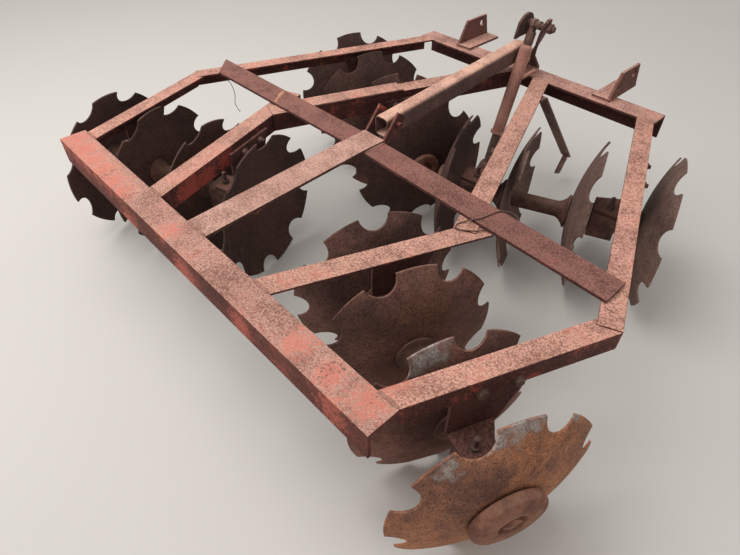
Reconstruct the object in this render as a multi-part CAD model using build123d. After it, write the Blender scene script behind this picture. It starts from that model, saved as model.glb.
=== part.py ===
"""Mounted tandem disc harrow: angle iron frame, four gangs of notched discs, mast, brace and top link.

Millimetres, +Z up, +Y towards the tractor, +X to the machine's right. It is drawn with y = 0 at the rear
beam's rear face and z = 0 at the ground, then moved so that the middle of its footprint is the origin.
"""
import os
from math import cos, radians, sin, sqrt, tan

from build123d import *

os.makedirs("parts", exist_ok=True)

# Disc blades
DISC_R = 229.0            # tip radius of a notched blade
DISH = 53.0               # depth of the dish, hub to rim
BLADE_T = 5.0
RIM_LEAN = 1.0            # how much smaller the blade is on its inner side
NOTCHES = 8
NOTCH_R = 39.5            # radius of each round notch
NOTCH_OUT = 3.0           # how far the notch's centre lies outside the rim
HUB_R = 40.0              # flat middle of a blade, which the spools clamp
DISC_GAP = 205.0          # from one blade to the next along the gang bolt
DISCS = 4
PHASES = {                # how far each blade has turned, in degrees, from the gang's inner end outwards
    "left_rear": (37.0, 10.0, 24.0, 21.0),
    "left_front": (8.0, 33.0, 26.0, 28.0),
    "right_rear": (2.0, 19.0, 36.0, 17.0),
    "right_front": (20.0, 8.0, 36.0, 16.0),
}

# Frame
TOP_Z = DISC_R + 218.0    # top faces of the frame, above the ground
BEAM = 76.0               # both legs of the end beams' angle iron
BEAM_T = 8.0
RAIL = 51.0               # both legs of the outer rails' angle iron
INNER = 57.0              # both legs of the inner rails' angle iron
RAIL_T = 6.5
EDGE = 1.5                # rolled edge of the angle iron
LENGTH = 1443.0           # rear face of the rear beam to front face of the front beam
FRONT_LIFT = 3.0          # the front rails sit this much proud of the rear ones
REAR_EDGE_Y = BEAM
FRONT_EDGE_Y = LENGTH - BEAM

# Gangs, which set where the rails go
GANG_REAR_Y = 283.0                   # middle of a rear gang
GANG_FRONT_Y = FRONT_EDGE_Y - 330.0   # middle of a front gang

# Each side of the frame, which was not welded up quite square
SIDES = {
    # side: sign of x, toe of the rear and the front half in degrees, the waist's y, how far a front gang's
    # bumper stays from the middle line, each rail's leg from its bearing's middle (inwards at the rear,
    # outwards in front), how far the end beams run on past the outer rails, how far the crossbar's end is
    # ahead of the waist and past the rail's leg, how far the inner rear rail runs on past the waist, and
    # how far from there the inner front rail begins
    "left": dict(s=-1, rear=19.0, front=21.3, waist=530.0, middle=10.7, rear_inner=81.5, rear_outer=66.1,
                 front_inner=37.5, front_outer=42.8, rear_over=16.0, front_over=13.0, cross_ahead=87.0,
                 cross_over=30.0, run_on=166.0, begin=5.0),
    "right": dict(s=1, rear=22.0, front=22.7, waist=520.0, middle=13.5, rear_inner=51.5, rear_outer=49.9,
                  front_inner=62.6, front_outer=58.3, rear_over=0.0, front_over=2.0, cross_ahead=82.0,
                  cross_over=-29.0, run_on=78.0, begin=0.0),
}

# Cross pieces lying on the frame
BAR_T = 8.0
CROSS_W = 78.0
CROSS_BOW = 17.5          # how far the crossbar's middle lies ahead of the line through its ends
CROSS_CUT = 78.0          # how much its rear edge is cut back at the left end
SPAN = 2000.0             # wider than the whole machine, for cuts right across it
STRAP_W = 81.0
STRAP_X = -20.0           # the strap's middle at the rear beam
CENTRE_X = -23.0          # and at the crossbar

# Brace and lugs
BRACE_W = 51.0
BRACE_H = 62.0
BRACE_WALL = 4.0
BRACE_ROUND = 14.0
BRACE_AHEAD = 38.0        # from the crossbar's front edge to the brace's open rear end
BRACE_LOW_Z = 26.0        # the brace's middle above the frame's top, at its rear end and at the mast
BRACE_HIGH_Z = 60.0
BRACE_CLEAR = 5.0         # between the brace's end at the mast and the top link's tube
LUG_X = -33.5             # middle of the lugs and of the brace's rear end
LUG_T = 8.0
LUG_SPREAD = 75.0
# LUG: a lug's outline, as y from the crossbar's front edge and height over the frame
LUG = ((0.0, 3.0), (0.0, 11.0), (11.0, 11.0), (67.0, 76.0), (95.0, 53.0), (52.0, 3.0))
LUG_BOLT_AT = (64.0, 41.0)
LUG_BOLT_R = 8.0
LUG_BOLT_OUT = 12.0       # how far the bolt stands out of each lug

# Mast
PIN_Y = LENGTH - 57.0
PIN_Z = TOP_Z + 163.0
PIN_R = 9.5
PIN_FIT = 0.1             # between the top pin and the eye that turns on it
PIN_OUT = 8.0             # how far the pin stands out at each end
NUT_R = 16.0
NUT_T = 13.0
SPACER_R = 13.5
LEAF_X = -25.0            # right face of the left mast plate
LEAF_T = 9.0
LEAF_BACK_Y = LENGTH - 39.0
# LEAF: the left plate's outline, as y from its rear edge and height over the frame
LEAF = ((0.0, 0.0), (31.0, 0.0), (27.0, 108.0), (10.0, 161.0), (7.0, 173.0), (2.0, 182.0), (-6.0, 190.5),
        (-16.0, 195.0), (-32.0, 195.0), (-44.0, 192.0), (-53.0, 186.0), (-62.0, 179.0), (-69.0, 172.0),
        (-74.0, 154.0), (-83.0, 123.0), (-58.0, 126.0), (-30.0, 127.0), (0.0, 125.0))
MAST_T = 10.0
# MAST: the right bar's run, as x, y from the front beam's face, height over the frame, turn and width
MAST = ((-9.5, 5.0, -50.0, 0.0, 41.0), (-9.5, 5.0, 6.0, 0.0, 41.0), (-12.0, -11.0, 52.0, 50.0, 41.0),
        (8.0, -26.0, 98.0, 72.0, 41.0), (24.0, -39.0, 135.0, 82.0, 41.0), (39.0, -51.0, 167.0, 85.0, 41.0),
        (46.0, -56.0, 182.0, 85.0, 34.0), (50.0, -59.0, 192.0, 85.0, 15.0))
MAST_PIN_X = 23.0         # where the spacer on the pin ends, short of the bar
MAST_NUT_X = 53.0         # and where the nut begins, clear of it

# Top link
LINK_X = -4.0
LINK_LEAN = 16.1          # degrees that its lower end stands back from straight down
LINK_L = 514.0            # pin to pin
TUBE_R = 21.5
TUBE_L = 316.0
TUBE_FROM = 64.0          # the tube's upper end, below the top pin
TUBE_DOME = 18.0
RING_R = 26.0             # ring at the tube's lower end
RING_T = 10.0
EYE_R = 17.0
EYE_W = 14.0              # upper eye along the pin
NECK_W = 24.0             # the flat neck under it, across the pin
LOW_EYE_R = 25.0
LOW_EYE_W = 38.0
ROD_R = 15.0              # the rod of the lower eye
LOCK_R = 16.0             # collar on the rod above the tube
LOCK_L = 40.0
HANDLE_R = 7.0
HANDLE_AT = 190.0         # the handle's root, below the top pin
HANDLE_END = (48.0, 27.0, 52.0)   # its tip from there: right, forward and up along the link

# Lower hitch brackets
HOLE_X = 321.0            # outer face of each upright, from the middle
HOLE_R = 11.5
HOLE_Y = LENGTH + 78.0
HOLE_Z = TOP_Z + 58.0
BRACKET_T = 9.0
BRACKET_W = 62.0
BRACKET_BACK = LENGTH - 55.0
BRACKET_FRONT = LENGTH + 124.0
BRACKET_H = 84.0
BRACKET_SLOPE_BACK = 46.0
BRACKET_SLOPE_FRONT = 23.0

# Gang bolt, spools, bearings and hangers
BOLT = 25.0               # square gang bolt, across flats
SPOOL_R = 25.0
CONVEX_R = 52.0           # bell of a spool against a blade's outer side
CONCAVE_R = 40.0          # and inside its dish
BELL_T = 8.0
SLEEVE_R = 31.0           # the turned sleeve that runs in a bearing
SLEEVE_FIT = 0.06
BLOCK_W = 76.0            # bearing block along the axle
BLOCK_D = 92.0            # across it
BLOCK_H = 92.0
END_R = 83.0              # cast end washer outside a rear gang
END_T = 28.0
END_RECESS_R = 31.0
END_RECESS = 14.0
BUMPER_R = 55.0           # smaller washer at a front gang's inner end
BUMPER_T = 18.0
CAP_R = 38.0              # plain washer and nut at the other ends
CAP_T = 22.0
SLEEVE_OUT = 8.0          # how far a sleeve stands out of its bearing block
BLOCK_ROUND = 18.0
HANGER_T = 8.0
HANGER_LAP = 30.0         # how far the hanger's plate laps up a rail's leg
HANGERS = {
    # half of the frame: how far behind and ahead of the axle the plate reaches at its top and at its bend
    # and the foot at its end, and how far that end is past the bearing's middle
    "rear": dict(top=(-50.0, 130.0), bend=(-50.0, 66.0), end=(-42.0, 24.0), past=10.0),
    "front": dict(top=(-85.0, 85.0), bend=(-56.0, 56.0), end=(-33.0, 33.0), past=38.0),
}

# Stand strap under the front beam
STAND_W = 38.0
STAND_T = 8.0
# STAND: its run, as x from the right inner rail's leg, y from the front beam's edge, depth under the rail
STAND = ((57.0, -127.0, 0.0), (60.0, -87.0, 0.0), (73.0, 189.0, 331.0), (70.0, 160.0, 404.0))


PIECES = {}


def put(shape, name):
    """Keeps one named piece until the whole machine is drawn."""
    PIECES[name] = shape


def box(x0, x1, y0, y1, z0, z1):
    """A block between six planes."""
    return Pos((x0 + x1) / 2, (y0 + y1) / 2, (z0 + z1) / 2) * Box(x1 - x0, y1 - y0, z1 - z0)


def prism(points, z0, z1):
    """A plate of the plan outline given, between two levels."""
    return extrude(Plane.XY.offset(z0) * make_face(Polyline(*points, close=True)), z1 - z0)


def angle_iron(length, size, wall):
    """Angle iron along +Y: its flange's top runs from x = 0 to -size at z = 0, its leg hangs at x = 0."""
    outline = Polyline((0, 0), (-size, 0), (-size, -wall), (-wall, -wall), (-wall, -size), (0, -size),
                       close=True)
    bar = extrude(Plane.XZ * make_face(outline), -length)
    edges = bar.edges().filter_by(Axis.Y)
    return fillet([e for e in edges if e.center().X > -wall / 2 or e.center().X < -size + wall / 2
                   or e.center().Z < -size + wall / 2], EDGE)


def side_plane(x):
    """The plane at x, looked at from the right, in which a point is y and z."""
    return Plane(origin=(x, 0, 0), x_dir=(0, 1, 0), z_dir=(1, 0, 0))


def along_x(x0, x1, r):
    """A round bar along X between two planes."""
    return Pos((x0 + x1) / 2, 0, 0) * Rot(0, 90, 0) * Cylinder(r, x1 - x0)


def upright(r, z0, z1):
    """A round bar along Z between two levels."""
    return Pos(0, 0, (z0 + z1) / 2) * Cylinder(r, z1 - z0)


def place(shape, x, y, z, toe, s):
    """Turns a piece modelled along +Y by its toe, mirrors it for the left side and puts it on the frame."""
    shape = Rot(0, 0, -toe) * shape
    shape = Pos(x, y, z) * shape
    return shape if s > 0 else mirror(shape, about=Plane.YZ)


def on_axle(origin, toe, along, across=0.0):
    """The point so far along a gang's axle from its middle and so far ahead of it."""
    a = radians(toe)
    return origin[0] + along * cos(a) - across * sin(a), origin[1] + along * sin(a) + across * cos(a)


def at_level(point, toe, y):
    """The x at which a rail through the point, square to an axle of that toe, crosses a level y."""
    return point[0] - (y - point[1]) * tan(radians(toe))


def lay_out(side):
    """Adds to a side's sizes the gangs' middles, the rails' legs along the axles, corners and ends."""
    rear, front = side["rear"], side["front"]
    f = radians(front)
    reach = (DISCS - 1) / 2 * DISC_GAP + BUMPER_T
    origin_f = (side["middle"] + reach * cos(f) + BUMPER_R * sin(f), GANG_FRONT_Y)
    legs_f = (-DISC_GAP + BLADE_T / 2 + side["front_inner"], DISC_GAP + BLADE_T / 2 + side["front_outer"])
    legs_r = (-DISC_GAP - BLADE_T / 2 - side["rear_inner"], DISC_GAP - BLADE_T / 2 - side["rear_outer"])
    inner_f, outer_f = (on_axle(origin_f, front, a) for a in legs_f)
    corner = (at_level(outer_f, front, side["waist"]), side["waist"])
    back_x = at_level(corner, -rear, GANG_REAR_Y)
    origin_r = (back_x - legs_r[1] / cos(radians(rear)), GANG_REAR_Y)
    inner_r = on_axle(origin_r, -rear, legs_r[0])
    gap = at_level(inner_f, front, side["waist"]) - at_level(inner_r, -rear, side["waist"])
    ahead = gap / (tan(f) + tan(radians(rear)))
    inner_y = side["waist"] + ahead
    side.update(origin_front=origin_f, origin_rear=origin_r, legs_front=legs_f, legs_rear=legs_r,
                corner=corner, inner_corner=(at_level(inner_f, front, inner_y), inner_y),
                outer=at_level(corner, -rear, REAR_EDGE_Y), inner=at_level(inner_r, -rear, REAR_EDGE_Y),
                outer_front=at_level(corner, front, FRONT_EDGE_Y))


def end_beams():
    """The rear and the front beam, each with its leg on the outside of the frame."""
    left, right = SIDES["left"], SIDES["right"]
    rear = (left["outer"] + left["rear_over"], right["outer"] + right["rear_over"])
    front = (left["outer_front"] + left["front_over"], right["outer_front"] + right["front_over"])
    bar = Rot(0, 0, 90) * angle_iron(sum(rear), BEAM, BEAM_T)      # along -X, with its leg at +Y
    put(Pos(-rear[0], 0, TOP_Z) * Rot(0, 0, 180) * bar, "rear_beam")
    bar = Rot(0, 0, 90) * angle_iron(sum(front), BEAM, BEAM_T)
    put(Pos(front[1], LENGTH, TOP_Z) * bar, "front_beam")


def outer_rails(name, side):
    """The two rails of one side, their legs outside, the front one's square end coped into the rear one."""
    s, (corner_x, corner_y) = side["s"], side["corner"]
    front_run = (FRONT_EDGE_Y - corner_y) / cos(radians(side["front"])) + RAIL
    front = place(angle_iron(front_run, RAIL, RAIL_T), corner_x, corner_y, TOP_Z + FRONT_LIFT,
                  -side["front"], s)
    front -= box(-SPAN, SPAN, FRONT_EDGE_Y, LENGTH + BEAM, 0, 2 * TOP_Z)
    rear_run = (corner_y - REAR_EDGE_Y) / cos(radians(side["rear"])) + RAIL
    rear = place(Pos(0, -RAIL, 0) * angle_iron(rear_run + RAIL, RAIL, RAIL_T),
                 side["outer"], REAR_EDGE_Y, TOP_Z, side["rear"], s)
    rear -= box(-SPAN, SPAN, -BEAM, REAR_EDGE_Y, 0, 2 * TOP_Z)
    ahead = box(-RAIL, 2 * RAIL, 0, 3 * RAIL, -2 * RAIL, RAIL)
    cope = place(ahead, corner_x, corner_y, TOP_Z, -side["front"], s)
    put(front, f"outer_rail_{name}_front")
    put(rear - cope, f"outer_rail_{name}_rear")


def inner_rails(name, side):
    """The two inner rails of one side, legs towards the middle line, the front one lapped on the rear."""
    s, (x, y) = side["s"], side["inner_corner"]
    flange_out = mirror(angle_iron(LENGTH, INNER, RAIL_T), about=Plane.YZ)
    front = place(Pos(0, side["begin"], 0) * flange_out, x, y, TOP_Z + FRONT_LIFT, -side["front"], s)
    front -= box(-SPAN, SPAN, FRONT_EDGE_Y, 3 * LENGTH, 0, 2 * TOP_Z)
    rear = place(Pos(0, side["run_on"] - LENGTH, 0) * flange_out, x, y, TOP_Z, side["rear"], s)
    rear -= box(-SPAN, SPAN, -2 * LENGTH, REAR_EDGE_Y, 0, 2 * TOP_Z)
    put(front, f"inner_rail_{name}_front")
    put(rear - front, f"inner_rail_{name}_rear")


def crossbar_ends():
    """The middle of the crossbar at its left end, its bend and its right end."""
    points = []
    for side in SIDES.values():
        y = side["waist"] + side["cross_ahead"]
        points.append((side["s"] * (at_level(side["corner"], side["front"], y) + side["cross_over"]), y))
    (_, y0), (_, y1) = points
    return [points[0], (CENTRE_X, (y0 + y1) / 2 + CROSS_BOW), points[1]]


def cross_pieces():
    """The bar across the waist, and the strap from the rear beam onto it."""
    seat = TOP_Z + FRONT_LIFT
    half = CROSS_W / 2
    line = crossbar_ends()
    outline = [(x, y - half) for x, y in line] + [(x, y + half) for x, y in reversed(line)]
    outline[0] = (line[0][0] + CROSS_CUT, line[0][1] - half)
    put(prism(outline, seat, seat + BAR_T), "crossbar")
    lie = seat + BAR_T
    near, far = line[1][1] - half - BAR_T, line[1][1] + half
    profile = Polyline((REAR_EDGE_Y, TOP_Z - BAR_T), (near, lie), (far, lie), (far, lie + BAR_T),
                       (near, lie + BAR_T), (REAR_EDGE_Y, TOP_Z), close=True)
    bent = extrude(side_plane(-LENGTH) * make_face(profile), 2 * LENGTH)
    side = STRAP_W / 2
    plan = [(STRAP_X - side, REAR_EDGE_Y), (STRAP_X + side, REAR_EDGE_Y), (CENTRE_X + side, far),
            (CENTRE_X - side, far)]
    put(bent & prism(plan, 0, 2 * TOP_Z), "centre_strap")


def brace():
    """The hollow brace, rising from between the lugs to the left mast plate's rear edge."""
    front = crossbar_ends()[1][1] + CROSS_W / 2
    a = Vector(LUG_X, front + BRACE_AHEAD, TOP_Z + BRACE_LOW_Z)
    high_x = LINK_X - TUBE_R - BRACE_CLEAR - BRACE_W / 2
    b = Vector(high_x, LEAF_BACK_Y, TOP_Z + BRACE_HIGH_Z)
    plane = Plane(origin=a, z_dir=b - a, x_dir=(1, 0, 0))
    outer = RectangleRounded(BRACE_W, BRACE_H, BRACE_ROUND)
    inner = RectangleRounded(BRACE_W - 2 * BRACE_WALL, BRACE_H - 2 * BRACE_WALL, BRACE_ROUND - BRACE_WALL)
    tube = extrude(plane * (outer - inner), (b - a).length + BRACE_H)
    put(tube - box(-SPAN, SPAN, LEAF_BACK_Y, 2 * LENGTH, 0, 2 * TOP_Z), "brace")


def brace_lugs():
    """Two lugs that lean forward from the crossbar's front edge, and the bolt through them and the brace."""
    front = crossbar_ends()[1][1] + CROSS_W / 2
    outline = Polyline(*[(front + y, TOP_Z + z) for y, z in LUG], close=True)
    x = LUG_SPREAD / 2
    out = x + LUG_T / 2 + LUG_BOLT_OUT
    y, z = LUG_BOLT_AT
    lugs = Pos(LUG_X, front + y, TOP_Z + z) * along_x(-out, out, LUG_BOLT_R)
    PIECES["brace"] -= lugs
    for k in (-1, 1):
        lugs += extrude(side_plane(LUG_X + k * x - LUG_T / 2) * make_face(outline), LUG_T)
    put(lugs, "brace_lugs")


def mast():
    """The left plate, hooked over the brace's end, the right bar, twisted a quarter turn, and the pin."""
    pin = Pos(LINK_X, PIN_Y, PIN_Z) * Rot(0, 90, 0)
    outline = [(LEAF_BACK_Y + y, TOP_Z + z) for y, z in LEAF]
    leaf = extrude(side_plane(LEAF_X - LEAF_T) * make_face(Polyline(*outline, close=True)), LEAF_T)
    sections = []
    for x, y, z, turn, width in MAST:
        way = (cos(radians(turn)), -sin(radians(turn)), 0)
        level = Plane(origin=(x, LENGTH + y, TOP_Z + z), x_dir=way, z_dir=(0, 0, 1))
        sections.append(level * Rectangle(width, MAST_T))
    bar = loft(sections, ruled=True)
    hole = pin * Cylinder(PIN_R, SPAN)
    put(leaf - hole, "mast_plate_left")
    put(bar - hole, "mast_plate_right")
    rod = along_x(LEAF_X - LEAF_T - PIN_OUT, MAST_NUT_X + NUT_T + PIN_OUT, PIN_R)
    rod += along_x(LEAF_X, LINK_X - EYE_W / 2, SPACER_R) + along_x(LINK_X + EYE_W / 2, MAST_PIN_X, SPACER_R)
    nut = Plane(origin=(MAST_NUT_X, 0, 0), x_dir=(0, 1, 0), z_dir=(1, 0, 0)) * RegularPolygon(NUT_R, 6)
    put(Pos(0, PIN_Y, PIN_Z) * (rod + extrude(nut, NUT_T)), "top_pin")


def top_link():
    """The turnbuckle that hangs from the top pin: tube with handle, and an eye on a rod at each end."""
    at = Pos(LINK_X, PIN_Y, PIN_Z) * Rot(-LINK_LEAN, 0, 0)
    bore = Rot(0, 90, 0) * Cylinder(PIN_R + PIN_FIT, 3 * LOW_EYE_W)
    tube_low = TUBE_FROM + TUBE_L
    upper = Rot(0, 90, 0) * Cylinder(EYE_R, EYE_W) + upright(LOCK_R, -TUBE_FROM, LOCK_L - TUBE_FROM)
    upper += box(-EYE_W / 2, EYE_W / 2, -NECK_W / 2, NECK_W / 2, LOCK_L - TUBE_FROM, 0)
    low_eye = Pos(0, 0, -LINK_L) * Rot(0, 90, 0)
    lower = low_eye * Cylinder(LOW_EYE_R, LOW_EYE_W) + upright(ROD_R, -LINK_L, -tube_low)
    tube = upright(TUBE_R, -tube_low, -TUBE_FROM)
    tube = fillet(tube.edges().sort_by(Axis.Z)[-1], TUBE_DOME)
    tube += upright(RING_R, -tube_low, RING_T - tube_low)
    root = Vector(0, 0, -HANDLE_AT)
    run = Vector(*HANDLE_END)
    tube += extrude(Plane(origin=root, z_dir=run) * Circle(HANDLE_R), run.length)
    put(at * (upper - bore), "top_link_upper_end")
    put(at * (lower - Pos(0, 0, -LINK_L) * bore), "top_link_lower_end")
    put(at * tube, "top_link_tube")


def hitch_brackets():
    """The angle brackets on the front beam whose uprights take the lower link pins."""
    for name, s in (("left", -1), ("right", 1)):
        top = TOP_Z + BRACKET_H
        foot = box(HOLE_X - BRACKET_W, HOLE_X, BRACKET_BACK, BRACKET_FRONT, TOP_Z, TOP_Z + BRACKET_T)
        outline = Polyline((BRACKET_BACK, TOP_Z), (BRACKET_FRONT, TOP_Z),
                           (BRACKET_FRONT - BRACKET_SLOPE_FRONT, top),
                           (BRACKET_BACK + BRACKET_SLOPE_BACK, top), close=True)
        upright_plate = extrude(side_plane(HOLE_X - BRACKET_T) * make_face(outline), BRACKET_T)
        hole = Pos(HOLE_X, HOLE_Y, HOLE_Z) * along_x(-BRACKET_W, BRACKET_W, HOLE_R)
        bracket = foot + upright_plate - hole
        put(bracket if s > 0 else mirror(bracket, about=Plane.YZ), f"hitch_bracket_{name}")


def stand():
    """The bent flat bar that hangs from the right inner rail, its foot turned on edge above the ground."""
    side = SIDES["right"]
    under = TOP_Z + FRONT_LIFT - RAIL_T - STAND_T / 2
    leg_x = at_level(side["inner_corner"], side["front"], FRONT_EDGE_Y + STAND[1][1])
    run = [Vector(leg_x + x, FRONT_EDGE_Y + y, under - depth) for x, y, depth in STAND]
    *upper, knee, foot = run
    strap = extrude(Plane(origin=knee, z_dir=foot - knee, x_dir=(1, 0, 0)) * Rectangle(STAND_T, STAND_W),
                    (foot - knee).length)
    for a, b in zip(upper, upper[1:] + [knee]):
        bar = Plane(origin=a, z_dir=b - a, x_dir=(1, 0, 0)) * Rectangle(STAND_W, STAND_T)
        strap += extrude(bar, (b - a).length)
        strap += Pos(*b) * along_x(-STAND_W / 2, STAND_W / 2, STAND_T / 2)
    put(strap, "stand_strap")


def blade(s_hub, way, phase):
    """One notched blade about the X axis, its hub at x = s_hub, dished so that the rim lies towards way."""
    ball = (DISC_R ** 2 + DISH ** 2) / (2 * DISH)
    flat = ball - sqrt(ball ** 2 - HUB_R ** 2)
    mid_r = (HUB_R + DISC_R) / 2
    mid_x = ball - sqrt(ball ** 2 - mid_r ** 2)
    t = BLADE_T
    curve = ThreePointArc((flat, HUB_R), (mid_x, mid_r), (DISH, DISC_R))
    rim = Line((DISH, DISC_R), (DISH + t, DISC_R - RIM_LEAN))
    back = ThreePointArc((DISH + t, DISC_R - RIM_LEAN), (mid_x + t, mid_r), (flat + t, HUB_R))
    rest = Polyline((flat + t, HUB_R), (flat + t, 0), (flat, 0))
    face = make_face(Line((flat, 0), (flat, HUB_R)) + curve + rim + back + rest)
    body = revolve(face, Axis.X)
    for k in range(NOTCHES):
        turn = Rot(phase + 360 * k / NOTCHES, 0, 0)
        body -= turn * Pos(DISH, 0, DISC_R + NOTCH_OUT) * Rot(0, 90, 0) * Cylinder(NOTCH_R, 2 * DISH)
    body -= Box(2 * DISH, BOLT, BOLT)
    body = Pos(-flat, 0, 0) * body
    if way < 0:
        body = mirror(body, about=Plane.YZ)
    return Pos(s_hub, 0, 0) * body


def hub_places():
    """Each blade's hub along its gang, from the inner one outwards."""
    return [(k - (DISCS - 1) / 2) * DISC_GAP for k in range(DISCS)]


def spool(x0, x1, way, sleeve):
    """The cast spool between two blades: a tube with a bell at each end, and a sleeve where a bearing is."""
    left_r, right_r = (CONVEX_R, CONCAVE_R) if way < 0 else (CONCAVE_R, CONVEX_R)
    shape = along_x(x0, x1, SPOOL_R) + along_x(x0, x0 + BELL_T, left_r) + along_x(x1 - BELL_T, x1, right_r)
    if sleeve:
        x, half = (x0 + x1) / 2, BLOCK_W / 2 + SLEEVE_OUT
        shape += along_x(x - half, x + half, SLEEVE_R)
    return shape


def bearing_block(x):
    """One bearing block round the sleeve."""
    block = Pos(x, 0, 0) * Box(BLOCK_W, BLOCK_D, BLOCK_H)
    block = fillet(block.edges().filter_by(Axis.X), BLOCK_ROUND)
    return block - along_x(x - BLOCK_W, x + BLOCK_W, SLEEVE_R + SLEEVE_FIT)


def hanger(x_leg, x_bearing, half):
    """One hanger: a plate lapped on a rail's leg and a foot bent over the bearing block."""
    way = 1 if half == "rear" else -1
    shape = HANGERS[half]
    (top_back, top_ahead), (back, ahead) = shape["top"], shape["bend"]
    end_back, end_ahead = shape["end"]
    z_foot = BLOCK_H / 2
    z_top = TOP_Z - DISC_R - RAIL + HANGER_LAP
    plate = Plane(origin=(x_leg, 0, 0), x_dir=(0, 1, 0), z_dir=(1, 0, 0))
    outline = Polyline((top_back, z_top), (top_ahead, z_top), (ahead, z_foot), (back, z_foot), close=True)
    upright_plate = extrude(plate * make_face(outline), way * HANGER_T)
    far = x_bearing + way * shape["past"]
    corners = [(x_leg, back), (x_leg, ahead), (far, end_ahead), (far, end_back)]
    foot = prism(corners, z_foot, z_foot + HANGER_T)
    return upright_plate + foot


def gang(name, side, half):
    """One gang: bolt, blades, spools and end washers that turn together, and the hangers that carry them."""
    s, rear = side["s"], half == "rear"
    toe = -side["rear"] if rear else side["front"]
    origin = side[f"origin_{half}"]
    way = -1 if rear else 1                      # towards the rim
    at = Pos(origin[0], origin[1], DISC_R) * Rot(0, 0, toe)

    def seat(shape):
        shape = at * shape
        return shape if s > 0 else mirror(shape, about=Plane.YZ)

    hubs = hub_places()
    for k, x in enumerate(hubs):
        put(seat(blade(x, way, PHASES[name][k])), f"blade_{name}_{k + 1}")
    into_dish = BLADE_T if way > 0 else 0.0
    out_of_dish = BLADE_T - into_dish
    inner_face, outer_face = hubs[0] - out_of_dish, hubs[-1] + into_dish
    inner_r, inner_t = (CAP_R, CAP_T) if rear else (BUMPER_R, BUMPER_T)
    outer_r, outer_t = (END_R, END_T) if rear else (CAP_R, CAP_T)
    axle = Pos((inner_face + outer_face) / 2, 0, 0) * Box(outer_face - inner_face, BOLT, BOLT)
    axle += along_x(inner_face - inner_t, inner_face, inner_r)
    axle += along_x(outer_face, outer_face + outer_t, outer_r)
    if rear:
        axle -= along_x(outer_face + outer_t - END_RECESS, outer_face + outer_t, END_RECESS_R)
    for k in range(DISCS - 1):
        axle += spool(hubs[k] + into_dish, hubs[k + 1] - out_of_dish, way, k != 1)
    put(seat(axle), f"gang_axle_{name}")

    shift = into_dish - BLADE_T / 2
    inner_leg, outer_leg = side[f"legs_{half}"]
    legs = (inner_leg, outer_leg - RAIL_T)
    if rear:
        legs = [leg - HANGER_T for leg in legs]
    for place_name, leg, x in zip(("inner", "outer"), legs, (shift - DISC_GAP, shift + DISC_GAP)):
        put(seat(bearing_block(x)), f"bearing_{name}_{place_name}")
        put(seat(hanger(leg, x, half)), f"hanger_{name}_{place_name}")


for side_sizes in SIDES.values():
    lay_out(side_sizes)
end_beams()
for side_name, side_sizes in SIDES.items():
    outer_rails(side_name, side_sizes)
    inner_rails(side_name, side_sizes)
    for half_name in ("rear", "front"):
        gang(f"{side_name}_{half_name}", side_sizes, half_name)
cross_pieces()
brace()
brace_lugs()
mast()
top_link()
hitch_brackets()
stand()

whole = Compound(list(PIECES.values())).bounding_box()
home = Pos(-(whole.min.X + whole.max.X) / 2, -(whole.min.Y + whole.max.Y) / 2, -whole.min.Z)
for piece_name, piece in PIECES.items():
    export_step(home * piece, f"parts/{piece_name}.step")
print("moved by", [round(v, 4) for v in tuple(home.position)])
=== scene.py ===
"""Dresses the mounted disc harrow: finishes, turned spools, bolts, welds and wire, with camera and light."""
import sys

import logging
from dataclasses import dataclass
from enum import Enum
from math import atan, cos, radians, sin, tan, tau
from typing import Union

import bmesh
import bpy
import numpy as np
from mathutils import Matrix, Vector


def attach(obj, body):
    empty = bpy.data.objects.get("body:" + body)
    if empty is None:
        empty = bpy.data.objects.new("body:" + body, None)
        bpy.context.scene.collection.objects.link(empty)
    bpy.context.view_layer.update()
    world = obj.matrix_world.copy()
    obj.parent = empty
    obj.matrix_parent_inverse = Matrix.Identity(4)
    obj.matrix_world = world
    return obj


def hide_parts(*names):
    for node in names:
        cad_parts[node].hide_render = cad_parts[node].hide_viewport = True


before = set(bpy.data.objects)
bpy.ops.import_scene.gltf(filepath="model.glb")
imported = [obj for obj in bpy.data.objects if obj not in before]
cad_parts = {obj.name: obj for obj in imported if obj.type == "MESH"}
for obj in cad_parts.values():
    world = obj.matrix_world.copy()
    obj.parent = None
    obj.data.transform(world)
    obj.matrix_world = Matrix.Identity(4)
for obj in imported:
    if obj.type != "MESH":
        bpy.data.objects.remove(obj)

LOG = logging.getLogger("harrow")
Point = tuple[float, float, float]
Colour = Point
Spot = tuple[float, float, float, float]       # a place in the shared frame and its reach, in metres
Input = Union[float, Colour, "Value", bpy.types.NodeSocket]
HOME = np.array((-3.0085, -774.2379, 0.0))     # from the drawing's origin to the frame's, in millimetres


def spot(points: list | tuple | np.ndarray) -> np.ndarray:
    """Moves points from the drawing to the shared frame.

    Args:
        points: points in the drawing's millimetres, y from the rear beam and z from the ground.

    Returns:
        The same points in metres, as an array whose last axis is x, y, z.
    """
    return (np.asarray(points, float) + HOME) / 1000.0


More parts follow.
